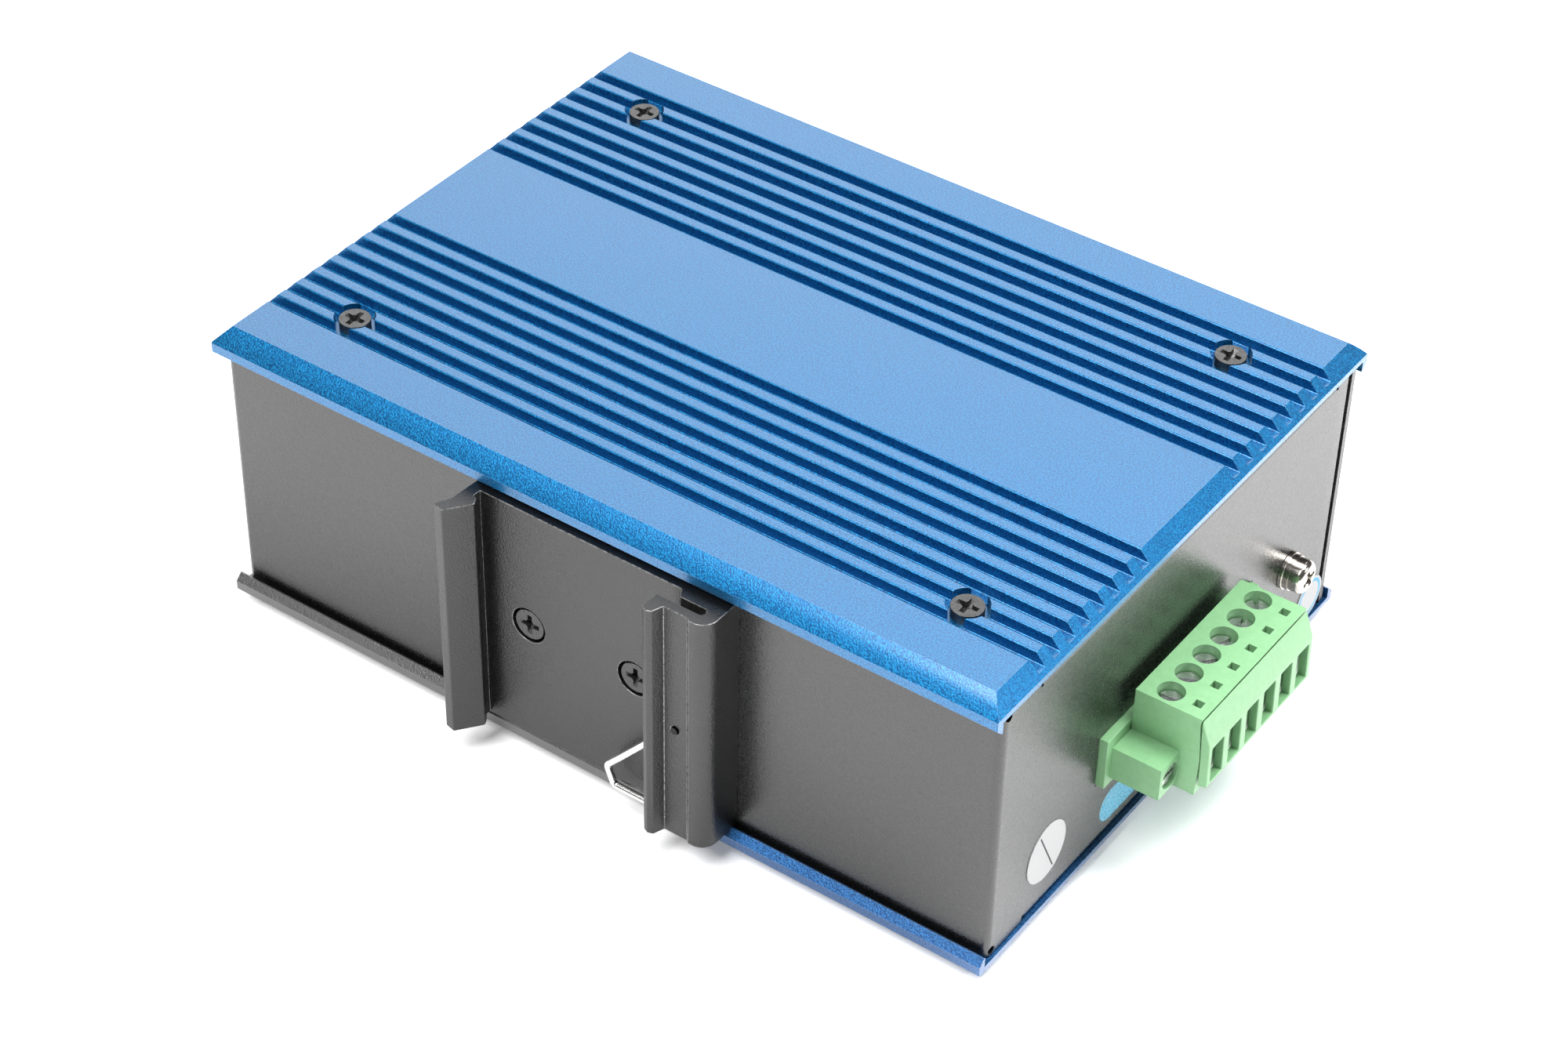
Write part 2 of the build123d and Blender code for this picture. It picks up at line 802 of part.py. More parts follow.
def port_outline(x, row):
    """Mouth of one socket as (x, z); the latch side faces away from the other row."""
    middle = board_top + socket_height / 2
    turn = 1 if row else -1
    flat = middle + turn * 1.6
    w = port_width / 2
    shape = [
        (-w, 0),
        (w, 0),
        (w, port_height),
        (3.1, port_height),
        (3.1, port_height + 1.5),
        (2.0, port_height + 1.5),
        (2.0, port_height + 2.4),
        (-2.0, port_height + 2.4),
        (-2.0, port_height + 1.5),
        (-3.1, port_height + 1.5),
        (-3.1, port_height),
        (-w, port_height),
    ]
    return [(x + dx, flat + turn * dz) for dx, dz in shape]


def port_places():
    """Column position and row of each of the eight sockets."""
    columns = [(c - (port_columns - 1) / 2) * port_pitch for c in range(port_columns)]
    return [(x, row) for x in columns for row in (0, 1)]


def socket_shield():
    """Folded tinned sheet round the block of sockets, open below and at each mouth."""
    half = socket_width / 2
    back = socket_front - socket_depth
    top = board_top + socket_height
    case = block(-half, half, back, socket_front, board_top, top)
    case -= block(
        -half + shield, half - shield, back + shield, socket_front - shield, board_top, top - shield
    )
    for x, row in port_places():
        case -= prism_y(port_outline(x, row), socket_front - shield, socket_front)
    return case


def socket_housing():
    """Black moulding with the eight socket mouths."""
    half = socket_width / 2 - shield
    back = socket_front - socket_depth + shield
    front = socket_front - shield
    body = block(-half, half, back, front, board_top, board_top + socket_height - shield)
    for x, row in port_places():
        body -= prism_y(port_outline(x, row), front - port_depth, front)
    return body


def socket_contacts():
    """Eight sprung contact wires in each socket, on the side away from the latch."""
    pitch = 1.02
    back = socket_front - shield - port_depth
    wires = []
    for x, row in port_places():
        turn = 1 if row else -1
        base = board_top + socket_height / 2 + turn * 1.6
        for k in range(8):
            left = x + (k - 3.5) * pitch - 0.2
            profile = [
                (back, base + turn * 3.4),
                (back + 8.5, base + turn * 0.4),
                (back + 9.0, base + turn * 0.4),
                (back, base + turn * 3.8),
            ]
            wires.append(prism_x(profile, left, left + 0.4))
    return wires


def light_pipes():
    """Clear rods that carry each status light to the panel."""
    return [rod_y(led_hole / 2 - fit, x, board_front - 7.0, panel_y + 0.3, z) for x, z in led_places()]


def status_lights():
    """One moulded light block for each column, standing on the board behind the pipes."""
    blocks = []
    for i in range(3):
        x = led_x + i * led_pitch_x
        top = max(z for _, z in led_places()) + 2.0
        blocks.append(block(x - 2.2, x + 2.2, board_front - 11.0, board_front - 7.0, board_top, top))
    return blocks


def heatsink(x, y, z, size, height):
    """Extruded heatsink with seven fins along Y."""
    half = size / 2
    body = block(x - half, x + half, y - half, y + half, z, z + height)
    pitch = (size - 1.2) / 6
    for k in range(6):
        left = x - half + 1.2 + k * pitch
        body -= block(left, left + pitch - 1.2, y - half, y + half, z + 2.0, z + height)
    return body


def bulk_capacitor(x, y, radius, height):
    """Electrolytic can with a broken upper edge."""
    can = rod_z(radius, x, y, board_top, board_top + height)
    return chamfer(can.edges().group_by(Axis.Z)[-1], length=0.6)


def power_inductor(x, y, size, height):
    """Shielded inductor: square core with bevelled corners."""
    half = size / 2
    core = block(x - half, x + half, y - half, y + half, board_top, board_top + height)
    return chamfer(core.edges().filter_by(Axis.Z), length=size / 6)


def transformer_core(x, y):
    """Ferrite core: two outer legs, a round centre leg and the yokes above and below."""
    z = board_top + 1.5
    core = block(x - 10, x + 10, y - 5, y + 5, z, z + 12)
    core -= block(x - 7, x + 7, y - 5, y + 5, z + 2.5, z + 9.5)
    return core + rod_z(3.5, x, y, z + 2.5, z + 9.5)


def transformer_coil(x, y):
    """Wound bobbin round the centre leg, with the moulded base that stands on the board."""
    z = board_top + 1.5
    coil = rod_z(6.8, x, y, z + 2.6, z + 9.4) - rod_z(3.6, x, y, z + 2.6, z + 9.4)
    base = block(x - 12, x + 12, y - 8, y + 8, board_top, z)
    for side in (-1, 1):
        ys = sorted((y + side * 5.3, y + side * 6.6))
        base += block(x - 4, x + 4, *ys, board_top, z + 4)
    return coil + base


def rectifier(x, y):
    """Standing rectifier: a bevelled block on four leads."""
    body = block(x - 2.2, x + 2.2, y - 7.5, y + 7.5, board_top + 2.5, board_top + 13.0)
    for k in range(4):
        lead = y + (k - 1.5) * 3.8
        body += block(x - 0.4, x + 0.4, lead - 0.6, lead + 0.6, board_top, board_top + 2.5)
    return body


def surge_disc(x, y):
    """Coated surge arrester disc on two leads."""
    z = board_top + 6.5
    disc = rod_x(4.2, x - 1.8, x + 1.8, y, z)
    for side in (-2.5, 2.5):
        disc += block(x - 0.35, x + 0.35, y + side - 0.35, y + side + 0.35, board_top, z)
    return disc


def chip_parts():
    """Two rows of small chip capacitors and resistors on the board."""
    small = []
    for i in range(7):
        for j in range(2):
            x = board_left + 4.0 + i * 5.0
            y = board_rear + 22.0 + j * 4.0
            small.append(block(x - 1.0, x + 1.0, y - 0.6, y + 0.6, board_top, board_top + 0.8))
    return small


def rail_clip_nuts():
    """Nuts pressed into the rear wall behind the rail clip."""
    nuts = []
    for x in (-clip_screw_spacing / 2, clip_screw_spacing / 2):
        nuts.append(Pos(x, inner_rear, middle_z) * Rot(90, 0, 0) * clinch_nut())
    return nuts


def build():
    """Builds every piece and writes one file for each node."""
    os.makedirs("parts", exist_ok=True)
    lower = bottom_cover()
    save("top_cover", top_cover(lower))
    save("bottom_cover", drilled_bottom_cover(lower))
    save("case_shell", case_shell())
    save("port_panel", port_panel())

    cover_screw = flat_screw(head_diameter, head_height, m3_length)
    tops = []
    bottoms = []
    nuts = []
    for x, y in four_corners(cover_screw_x, screw_y):
        tops.append(Pos(x, y, overall_height - head_recess) * cover_screw)
        bottoms.append(Pos(x, y, head_recess) * Rot(180, 0, 0) * cover_screw)
        nuts.append(Pos(x, y, under_top - sheet) * clinch_nut())
        nuts.append(Pos(x, y, plate + sheet) * Rot(180, 0, 0) * clinch_nut())
    save("top_cover_screws", *tops)
    save("bottom_cover_screws", *bottoms)
    save("clinch_nuts", *nuts)

    save("din_clip", din_clip())
    clip_screw = flat_screw(clip_head_diameter, head_height, m3_length)
    clip_screws = []
    for x in (-clip_screw_spacing / 2, clip_screw_spacing / 2):
        seat = Pos(x, rear_y - clip_base + clip_head_recess, middle_z)
        clip_screws.append(seat * Rot(90, 0, 0) * clip_screw)
    save("din_clip_screws", *clip_screws)
    save("din_clip_nuts", *rail_clip_nuts())
    save("din_spring", din_spring())

    save("terminal_plug_body", terminal_plug_body())
    save("terminal_plug_cap", terminal_plug_cap())
    clamps = [Pos(header_face + well_x, y, plug_top - well_depth) * Rot(0, 0, 25 * k) * clamp_screw()
              for k, y in enumerate(pole_ys)]
    save("terminal_clamp_screws", *clamps)
    save("terminal_clamp_cages", *[clamp_cage(header_face + well_x, y) for y in pole_ys])
    save("terminal_contacts", *[terminal_contact(y) for y in pole_ys])
    save("terminal_flange_screws", *[flange_screw(y) for y in flange_ys])
    save("terminal_header", terminal_header())
    save("header_pins", *[header_pin(y) for y in pole_ys])
    save("header_inserts", *[flange_insert(y) for y in flange_ys])

    save("earth_screw", earth_screw())
    save("earth_flat_washer", earth_flat_washer())
    save("earth_spring_washer", earth_spring_washer())
    save("earth_nut", Pos(inner_x, earth_y, earth_z) * Rot(0, 90, 0) * Rot(0, 0, 30) * clinch_nut())
    inspection = disc_sticker(inspection_sticker_radius, inspection_sticker_y, inspection_sticker_z)
    save("inspection_sticker", inspection)
    save("seal_sticker", disc_sticker(seal_sticker_radius, seal_sticker_y, seal_sticker_z))

    save("main_board", main_board())
    save("board_standoffs", *[standoff(x, y) for x, y in four_corners(standoff_x, standoff_y)])
    fixing = board_screw()
    save("board_screws", *[Pos(x, y, board_top) * fixing for x, y in four_corners(standoff_x, standoff_y)])
    save("insulating_sheet", insulating_sheet())
    save("socket_shield", socket_shield())
    save("socket_housing", socket_housing())
    save("socket_contacts", *socket_contacts())
    save("light_pipes", *light_pipes())
    save("status_lights", *status_lights())

    # Electronics standing on the board
    chip_top = board_top + 1.6
    save("switch_chip", block(-20, 0, -12, 8, board_top, chip_top))
    save("thermal_pad", block(-19, -1, -11, 7, chip_top, chip_top + 0.5))
    save("chip_heatsink", heatsink(-10, -2, chip_top + 0.5, 22.0, 9.0))
    magnetics_front = socket_back - magnetics_gap
    magnetics_rear = magnetics_front - magnetics_depth
    save("network_transformers", *[
        block(x - 6.2, x + 6.2, magnetics_rear, magnetics_front, board_top, board_top + 5.5)
        for x in (-21.0, -7.0, 7.0, 21.0)
    ])
    save("power_controllers", *[block(x - 4, x + 4, -2, 6, board_top, board_top + 1.0) for x in (10.0, 22.0)])
    save("memory_chip", block(-36, -30, -2, 3, board_top, board_top + 1.6))
    save("crystal", extrude(Pos(-33, 8.5, board_top) * RectangleRounded(10.5, 4.5, 2.0), 3.5))
    power_x = board_right - power_inset
    save("bulk_capacitors", *[
        bulk_capacitor(power_x - k * power_pitch, board_rear + 15.0, capacitor_radius, capacitor_height)
        for k in range(3)
    ])
    save("power_inductors", *[
        power_inductor(power_x - dx, y, inductor_size, inductor_height)
        for dx, y in ((13.0, -9.0), (0, 2.0))
    ])
    transformer_y = board_rear + transformer_rear_gap
    save("transformer_core", transformer_core(transformer_x, transformer_y))
    save("transformer_coil", transformer_coil(transformer_x, transformer_y))
    fuse_end = board_front - fuse_front_gap
    fuse_x = board_right - fuse_inset
    fuse_z = board_top + fuse_radius
    save("input_fuse", rod_y(fuse_radius, fuse_x, fuse_end - fuse_length, fuse_end, fuse_z))
    save("surge_arresters", *[
        surge_disc(power_x - dx, board_front - surge_front_gap) for dx in (9.0, 4.0, -1.0)
    ])
    save("input_rectifiers", *[
        rectifier(board_left + rectifier_left_gap + k * rectifier_pitch, board_rear + rectifier_rear_gap)
        for k in range(2)
    ])
    save("chip_parts", *chip_parts())


build()
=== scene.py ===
"""Looks of the industrial ethernet switch: finishes, softened edges, printed fields, studio."""

import math

import bmesh
import bpy
from mathutils import Matrix, Vector


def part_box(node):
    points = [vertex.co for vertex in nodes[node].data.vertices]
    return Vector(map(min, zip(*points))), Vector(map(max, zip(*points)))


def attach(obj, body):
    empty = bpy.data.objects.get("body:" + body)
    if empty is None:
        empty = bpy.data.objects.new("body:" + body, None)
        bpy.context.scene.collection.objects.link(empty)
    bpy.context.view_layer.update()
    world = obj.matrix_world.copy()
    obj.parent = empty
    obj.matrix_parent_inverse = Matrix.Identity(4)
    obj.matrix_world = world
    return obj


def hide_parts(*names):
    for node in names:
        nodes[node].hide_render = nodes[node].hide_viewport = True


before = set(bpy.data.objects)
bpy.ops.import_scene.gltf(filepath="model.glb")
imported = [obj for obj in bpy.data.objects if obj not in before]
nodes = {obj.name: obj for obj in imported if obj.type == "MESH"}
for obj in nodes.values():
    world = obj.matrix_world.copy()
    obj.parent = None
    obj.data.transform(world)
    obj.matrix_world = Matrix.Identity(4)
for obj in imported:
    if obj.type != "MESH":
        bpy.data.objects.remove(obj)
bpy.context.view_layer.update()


# The top cover is a length of extruded aluminium, blasted with glass beads and anodised blue. Its
# grooves were drawn with the extrusion, and its end bevels and screw recesses were milled later.
# Four screws hold it to the case.
def softened(name, width, material, edge_material=None):
    """Stands a softened copy in for a CAD node: merged corners, flat faces joined, each edge broken.

    Two-step bevels of the given width follow every edge sharper than the limit. The bevels take
    edge_material where one is given: a painted highlight on the covers, worn edges on the clip.
    """
    merge_distance = 1e-6
    flat_limit = math.radians(0.4)
    sharp_limit = math.radians(30.0)
    mesh = nodes[name].data.copy()
    mesh.name = name + "_soft"
    shape = bmesh.new()
    shape.from_mesh(mesh)
    bmesh.ops.remove_doubles(shape, verts=shape.verts, dist=merge_distance)
    bmesh.ops.dissolve_limit(shape, angle_limit=flat_limit, verts=shape.verts, edges=shape.edges)
    shape.to_mesh(mesh)
    shape.free()
    if "custom_normal" in mesh.attributes:
        mesh.attributes.remove(mesh.attributes["custom_normal"])
    mesh.shade_smooth()
    mesh.set_sharp_from_angle(angle=sharp_limit)
    mesh.materials[0] = material
    piece = bpy.data.objects.new(name + "_soft", mesh)
    bpy.context.scene.collection.objects.link(piece)
    bevel = piece.modifiers.new("edges", "BEVEL")
    bevel.width = width
    bevel.segments = 2
    bevel.limit_method = "ANGLE"
    bevel.angle_limit = sharp_limit
    bevel.harden_normals = True
    bevel.miter_outer = "MITER_ARC"
    if edge_material:
        mesh.materials.append(edge_material)
        bevel.material = 1
    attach(piece, "root")
    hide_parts(name)


def worked_out(tree, operation, *values):
    """Math node over numbers and other nodes' outputs; gives the socket of its result."""
    node = tree.nodes.new("ShaderNodeMath")
    node.operation = operation
    for place, value in enumerate(values):
        if isinstance(value, bpy.types.NodeSocket):
            tree.links.new(value, node.inputs[place])
        else:
            node.inputs[place].default_value = value
    return node.outputs[0]


def grain_group():
    """Fine grain of a blasted, painted or moulded surface, as noise on Object coordinates.

    Height is the smooth noise, and Fleck the same noise stretched to 0 and 1 for a sparkle in colour.
    """
    tree = bpy.data.node_groups.new("surface_grain", "ShaderNodeTree")
    for label in ("Grains per metre", "Contrast"):
        tree.interface.new_socket(label, in_out="INPUT", socket_type="NodeSocketFloat")
    for label in ("Height", "Fleck"):
        tree.interface.new_socket(label, in_out="OUTPUT", socket_type="NodeSocketFloat")
    inside = tree.nodes.new("NodeGroupInput")
    outside = tree.nodes.new("NodeGroupOutput")
    place = tree.nodes.new("ShaderNodeTexCoord")
    noise = tree.nodes.new("ShaderNodeTexNoise")
    noise.inputs["Detail"].default_value = 2.0
    noise.inputs["Roughness"].default_value = 0.6
    noise_middle = 0.5
    half_contrast = worked_out(tree, "MULTIPLY", inside.outputs["Contrast"], 0.5)
    stretch = tree.nodes.new("ShaderNodeMapRange")
    join = tree.links.new
    join(place.outputs["Object"], noise.inputs["Vector"])
    join(inside.outputs["Grains per metre"], noise.inputs["Scale"])
    join(noise.outputs["Fac"], stretch.inputs["Value"])
    join(worked_out(tree, "SUBTRACT", noise_middle, half_contrast), stretch.inputs["From Min"])
    join(worked_out(tree, "ADD", noise_middle, half_contrast), stretch.inputs["From Max"])
    join(noise.outputs["Fac"], outside.inputs["Height"])
    join(stretch.outputs["Result"], outside.inputs["Fleck"])
    return tree


surface_grain = grain_group()


def finish(name, dark, light, roughness, grains, bump, metallic=0.0, coat=0.0, contrast=0.5, gloss=0.5):
    """Base finish: two colours mixed by the grain, a little roughness change, and grain as bump."""
    roughness_spread = 0.1
    material = bpy.data.materials.new(name)
    material.use_nodes = True
    tree = material.node_tree
    shader = tree.nodes["Principled BSDF"]
    grain = tree.nodes.new("ShaderNodeGroup")
    grain.node_tree = surface_grain
    grain.inputs["Grains per metre"].default_value = grains
    grain.inputs["Contrast"].default_value = contrast
    colour = tree.nodes.new("ShaderNodeMix")
    colour.name = "surface colour"
    colour.data_type = "RGBA"
    colour.inputs["A"].default_value = (*dark, 1.0)
    colour.inputs["B"].default_value = (*light, 1.0)
    rough = tree.nodes.new("ShaderNodeMapRange")
    rough.inputs["To Min"].default_value = roughness * (1 - roughness_spread)
    rough.inputs["To Max"].default_value = roughness * (1 + roughness_spread)
    relief = tree.nodes.new("ShaderNodeBump")
    relief.inputs["Distance"].default_value = bump
    join = tree.links.new
    join(grain.outputs["Fleck"], colour.inputs["Factor"])
    join(grain.outputs["Fleck"], rough.inputs["Value"])
    join(grain.outputs["Height"], relief.inputs["Height"])
    join(colour.outputs["Result"], shader.inputs["Base Color"])
    join(rough.outputs["Result"], shader.inputs["Roughness"])
    join(relief.outputs["Normal"], shader.inputs["Normal"])
    shader.inputs["Metallic"].default_value = metallic
    shader.inputs["Specular IOR Level"].default_value = gloss
    shader.inputs["Coat Weight"].default_value = coat
    shader.inputs["Coat Roughness"].default_value = 0.2
    return material


cover_edge = 0.00012
anodised = dict(roughness=0.42, grains=3600.0, bump=0.0001, metallic=0.88, coat=1.0, contrast=0.26, gloss=0.3)
blue = finish("blue_anodising", dark=(0.001, 0.075, 0.225), light=(0.007, 0.19, 0.42), **anodised)
# The covers' bevelled edges get a lighter blue, a painted highlight for the light that those edges catch.
blue_edge_highlight = finish(
    "blue_edge_highlight", dark=(0.28, 0.46, 0.64), light=(0.55, 0.70, 0.86), roughness=0.35,
    grains=3600.0, bump=0.00003, metallic=0.2, coat=1.0,
)
softened("top_cover", cover_edge, blue, blue_edge_highlight)


# The bottom cover is the same extrusion turned over and screwed on from below, its blue painted darker
# as shade. Its rear lip has lost its blue from the left end up to the rail clip's claw.
def corner_group():
    """Mask that is 1 where Object coordinates X and Y are both under their limits."""
    tree = bpy.data.node_groups.new("corner_mask", "ShaderNodeTree")
    for label in ("X limit", "Y limit"):
        tree.interface.new_socket(label, in_out="INPUT", socket_type="NodeSocketFloat")
    tree.interface.new_socket("Mask", in_out="OUTPUT", socket_type="NodeSocketFloat")
    inside = tree.nodes.new("NodeGroupInput")
    outside = tree.nodes.new("NodeGroupOutput")
    place = tree.nodes.new("ShaderNodeTexCoord")
    axes = tree.nodes.new("ShaderNodeSeparateXYZ")
    tree.links.new(place.outputs["Object"], axes.inputs[0])
    under_x = worked_out(tree, "LESS_THAN", axes.outputs["X"], inside.outputs["X limit"])
    under_y = worked_out(tree, "LESS_THAN", axes.outputs["Y"], inside.outputs["Y limit"])
    tree.links.new(worked_out(tree, "MULTIPLY", under_x, under_y), outside.inputs["Mask"])
    return tree


corner_mask = corner_group()


def laid_over(material, mask, colour):
    """Shows a colour in place of the finish's own where the mask is 1."""
    tree = material.node_tree
    over = tree.nodes.new("ShaderNodeMix")
    over.data_type = "RGBA"
    over.inputs["B"].default_value = (*colour, 1.0)
    tree.links.new(mask, over.inputs["Factor"])
    tree.links.new(tree.nodes["surface colour"].outputs["Result"], over.inputs["A"])
    tree.links.new(over.outputs["Result"], tree.nodes["Principled BSDF"].inputs["Base Color"])


def recoloured(material, colour, x_limit, y_limit):
    """Changes the finish's colour in the corner that lies under both limits."""
    corner = material.node_tree.nodes.new("ShaderNodeGroup")
    corner.node_tree = corner_mask
    corner.inputs["X limit"].default_value = x_limit
    corner.inputs["Y limit"].default_value = y_limit
    laid_over(material, corner.outputs["Mask"], colour)


lip_depth = 0.006
claw_depth = 0.006
faded_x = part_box("din_clip")[1][0] - claw_depth
faded_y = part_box("bottom_cover")[0][1] + lip_depth
# The bottom cover's blue is the top cover's made darker and duller: painted shade.
shaded_lower_blue = finish("shaded_lower_anodising", dark=(0.006, 0.05, 0.16), light=(0.022, 0.12, 0.31), **anodised)
recoloured(shaded_lower_blue, (0.11, 0.11, 0.11), faded_x, faded_y)
# The bottom cover's edges carry a copy of the same painted highlight, turned grey in the faded corner.
lower_edge_highlight = blue_edge_highlight.copy()
lower_edge_highlight.name = "faded_edge_highlight"
recoloured(lower_edge_highlight, (0.2, 0.2, 0.2), faded_x, faded_y)
softened("bottom_cover", cover_edge, shaded_lower_blue, lower_edge_highlight)


# The case is one folded steel sheet with a fine satin paint, and the port panel a flat sheet welded
# on its front flanges. A light-blue field is printed on the end wall under the power plug.
case_edge = 0.00015
painted = dict(dark=(0.003, 0.003, 0.003), light=(0.006, 0.006, 0.006), roughness=0.28, grains=3200.0,
               bump=0.00004, contrast=0.4, gloss=0.85)
case_paint = finish("case_paint", **painted)
shell_paint = finish("shell_paint", **painted)


def rounded_field(material, low, high, colour):
    """Prints a field with round ends on the end wall, between two corners given as Y and Z.

    The mask is 1 where the squared distance from the field's centre line is under its half height
    squared, in a thin skin at the wall's outer face.
    """
    skin = 0.0001
    tree = material.node_tree
    place = tree.nodes.new("ShaderNodeTexCoord")
    axes = tree.nodes.new("ShaderNodeSeparateXYZ")
    tree.links.new(place.outputs["Object"], axes.inputs[0])
    radius = (high[1] - low[1]) / 2
    middle = (high[1] + low[1]) / 2
    past_low = worked_out(tree, "MAXIMUM", axes.outputs["Y"], low[0] + radius)
    nearest = worked_out(tree, "MINIMUM", past_low, high[0] - radius)
    side = worked_out(tree, "SUBTRACT", axes.outputs["Y"], nearest)
    up = worked_out(tree, "SUBTRACT", axes.outputs["Z"], middle)
    side_squared = worked_out(tree, "MULTIPLY", side, side)
    up_squared = worked_out(tree, "MULTIPLY", up, up)
    squared = worked_out(tree, "ADD", side_squared, up_squared)
    inside = worked_out(tree, "LESS_THAN", squared, radius ** 2)
    outer = worked_out(tree, "GREATER_THAN", axes.outputs["X"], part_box("case_shell")[1][0] - skin)
    laid_over(material, worked_out(tree, "MULTIPLY", inside, outer), colour)


rounded_field(shell_paint, low=(-0.0195, 0.0063), high=(0.0205, 0.0123), colour=(0.055, 0.30, 0.46))
softened("case_shell", case_edge, shell_paint)
softened("port_panel", case_edge, case_paint)


# The cover and clip screws are M3 steel screws with a black oxide skin and cross recesses. They sit
# in counterbores of the covers and of the clip's base.
head_edge = 0.00004
black_oxide = finish(
    "black_oxide", dark=(0.045, 0.045, 0.045), light=(0.09, 0.09, 0.09), roughness=0.26,
    grains=2500.0, bump=0.00001, metallic=0.8,
)
for name in ("top_cover_screws", "bottom_cover_screws", "din_clip_screws"):
    softened(name, head_edge, black_oxide)


# The rail clip is one aluminium extrusion, cut to length, anodised black and screwed to the rear
# wall. The wire in its slot is drawn spring steel, bent and left bright; its tucked end is painted
# near-black as shade.
clip_edge = 0.00012
black_anodising = finish(
    "black_anodising", dark=(0.002, 0.002, 0.002), light=(0.006, 0.006, 0.006), roughness=0.34,
    grains=3000.0, bump=0.00009, contrast=0.4, gloss=0.7,
)
worn_anodising = finish(
    "worn_anodising", dark=(0.08, 0.08, 0.08), light=(0.24, 0.24, 0.24), roughness=0.3,
    grains=1800.0, bump=0.00002, metallic=0.7, contrast=0.3,
)
softened("din_clip", clip_edge, black_anodising, worn_anodising)


def carried(name, material):
    """Gives its material to a node that keeps its CAD mesh."""
    nodes[name].data.materials[0] = material


# A limit beyond the part lets every X through
beyond_part = 1.0
# Past this Y the wire's tucked end is painted near-black: painted shade where it lies in shadow.
shaded_wire_end = -0.0576
spring_steel = finish(
    "drawn_wire", dark=(0.74, 0.74, 0.73), light=(0.86, 0.86, 0.85), roughness=0.22,
    grains=1500.0, bump=0.000005, metallic=1.0,
)
recoloured(spring_steel, (0.02, 0.02, 0.02), beyond_part, shaded_wire_end)
carried("din_spring", spring_steel)


# The power plug and its header are moulded in the same light green nylon, slightly glossy, with
# edges that the mould leaves soft. The header is soldered to the board, and the plug screwed to it.
moulded_edge = 0.00018
green_nylon = finish(
    "green_nylon", dark=(0.155, 0.335, 0.16), light=(0.19, 0.385, 0.195), roughness=0.38,
    grains=900.0, bump=0.00001, contrast=0.6,
)
for name in ("terminal_plug_body", "terminal_plug_cap", "terminal_header"):
    softened(name, moulded_edge, green_nylon)


# Screws, washers, nuts, standoffs and wire clamps are plated steel: nickel on most of them, and zinc
# on the plug's own screws, its colour partly painted lighter as light on them deep in their wells.
# They are screwed or pressed into their neighbours.
turned_edge = 0.0001
nickel = finish(
    "nickel_plate", dark=(0.46, 0.43, 0.39), light=(0.60, 0.57, 0.52), roughness=0.18,
    grains=1800.0, bump=0.000008, metallic=1.0,
)
for name in ("earth_screw", "earth_flat_washer", "earth_spring_washer"):
    softened(name, turned_edge, nickel)
for name in (
    "terminal_clamp_cages", "clinch_nuts", "din_clip_nuts", "earth_nut", "board_standoffs", "board_screws",
):
    carried(name, nickel)
# The zinc's lighter colour is partly painted light, which stands for the light on the screws down in the
# plug's wells.
zinc_painted_lighter = finish(
    "zinc_painted_lighter", dark=(0.52, 0.53, 0.53), light=(0.64, 0.65, 0.65), roughness=0.26,
    grains=1800.0, bump=0.000008, metallic=0.95,
)
for name in ("terminal_clamp_screws", "terminal_flange_screws"):
    carried(name, zinc_painted_lighter)


# Two round paper stickers are glued to the end wall: a white one with a slanting line across its
# middle, and one with a light-blue ring printed near its edge.
paper = finish(
    "sticker_paper", dark=(0.39, 0.39, 0.395), light=(0.43, 0.43, 0.435), roughness=0.6,
    grains=2500.0, bump=0.00001, gloss=0.1,
)


def middle_of(name):
    """Middle of a node's box."""
    low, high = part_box(name)
    return (low + high) / 2


def line_print(material, centre, lean, length, width, colour):
    """Prints a straight line that leans about X: the mask is 1 within half its length and width."""
    tree = material.node_tree
    place = tree.nodes.new("ShaderNodeTexCoord")
    turned = tree.nodes.new("ShaderNodeMapping")
    turned.vector_type = "TEXTURE"
    turned.inputs["Location"].default_value = centre
    turned.inputs["Rotation"].default_value = (lean, 0.0, 0.0)
    axes = tree.nodes.new("ShaderNodeSeparateXYZ")
    tree.links.new(place.outputs["Object"], turned.inputs["Vector"])
    tree.links.new(turned.outputs[0], axes.inputs[0])
    across = worked_out(tree, "COMPARE", axes.outputs["Y"], 0.0, width / 2)
    along = worked_out(tree, "COMPARE", axes.outputs["Z"], 0.0, length / 2)
    laid_over(material, worked_out(tree, "MULTIPLY", across, along), colour)


lined_paper = paper.copy()
lined_paper.name = "lined_paper"
line_print(lined_paper, middle_of("inspection_sticker"), lean=math.radians(26.0), length=0.0092,
           width=0.0003, colour=(0.05, 0.05, 0.05))
carried("inspection_sticker", lined_paper)


def ring_print(material, centre, radius, width, colour):
    """Prints a ring: the mask is 1 where the distance from the centre is within half the width."""
    tree = material.node_tree
    place = tree.nodes.new("ShaderNodeTexCoord")
    reach = tree.nodes.new("ShaderNodeVectorMath")
    reach.operation = "DISTANCE"
    reach.inputs[1].default_value = centre
    tree.links.new(place.outputs["Object"], reach.inputs[0])
    ring = worked_out(tree, "COMPARE", reach.outputs["Value"], radius, width / 2)
    laid_over(material, ring, colour)


seal_paper = paper.copy()
seal_paper.name = "seal_paper"
ring_print(seal_paper, middle_of("seal_sticker"), radius=0.0033, width=0.0006, colour=(0.12, 0.32, 0.48))
carried("seal_sticker", seal_paper)


